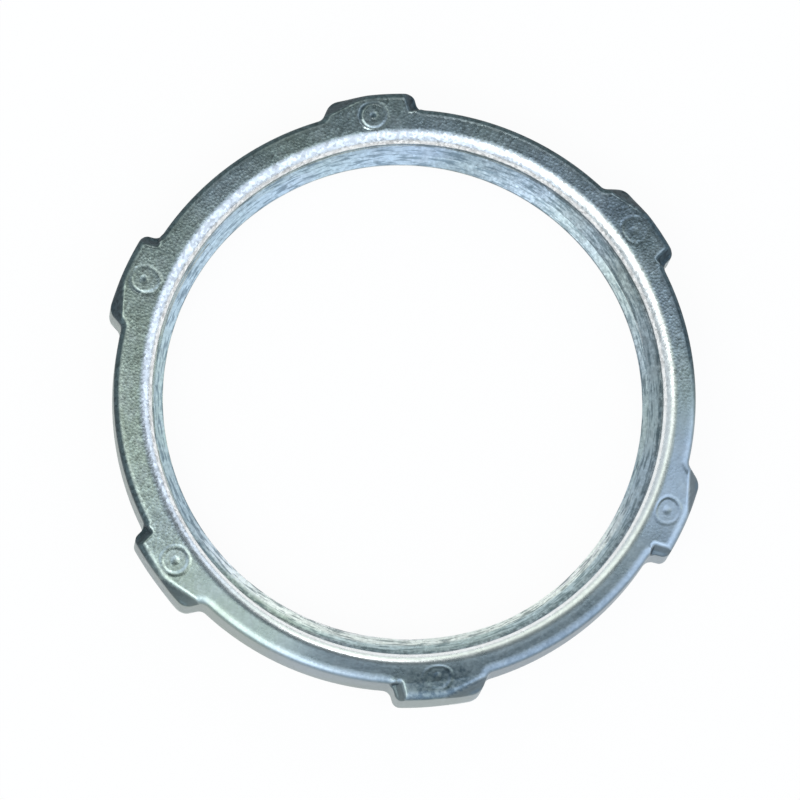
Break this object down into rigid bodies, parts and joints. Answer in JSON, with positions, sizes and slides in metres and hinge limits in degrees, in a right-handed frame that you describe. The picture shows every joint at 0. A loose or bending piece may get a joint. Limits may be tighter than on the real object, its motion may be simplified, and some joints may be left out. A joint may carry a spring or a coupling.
{
  "type": "conduit locknut",
  "caption": "Threaded steel ring with driving lugs whose folded corners bite the wall of an electrical box and lock a conduit or connector to it.",
  "frame": {"origin": "on the axis of the thread, level with the tips of the six teeth that the nut lies on", "axes": "+Z along the thread's axis, from the bearing face towards the outer face; +X through the middle of a lug"},
  "size_m": [0.088, 0.0834, 0.0095],
  "materials": {
    "zinc_plate": "satin"
  },
  "bodies": {
    "root": {"locknut": "zinc_plate"}
  },
  "joints": []
}
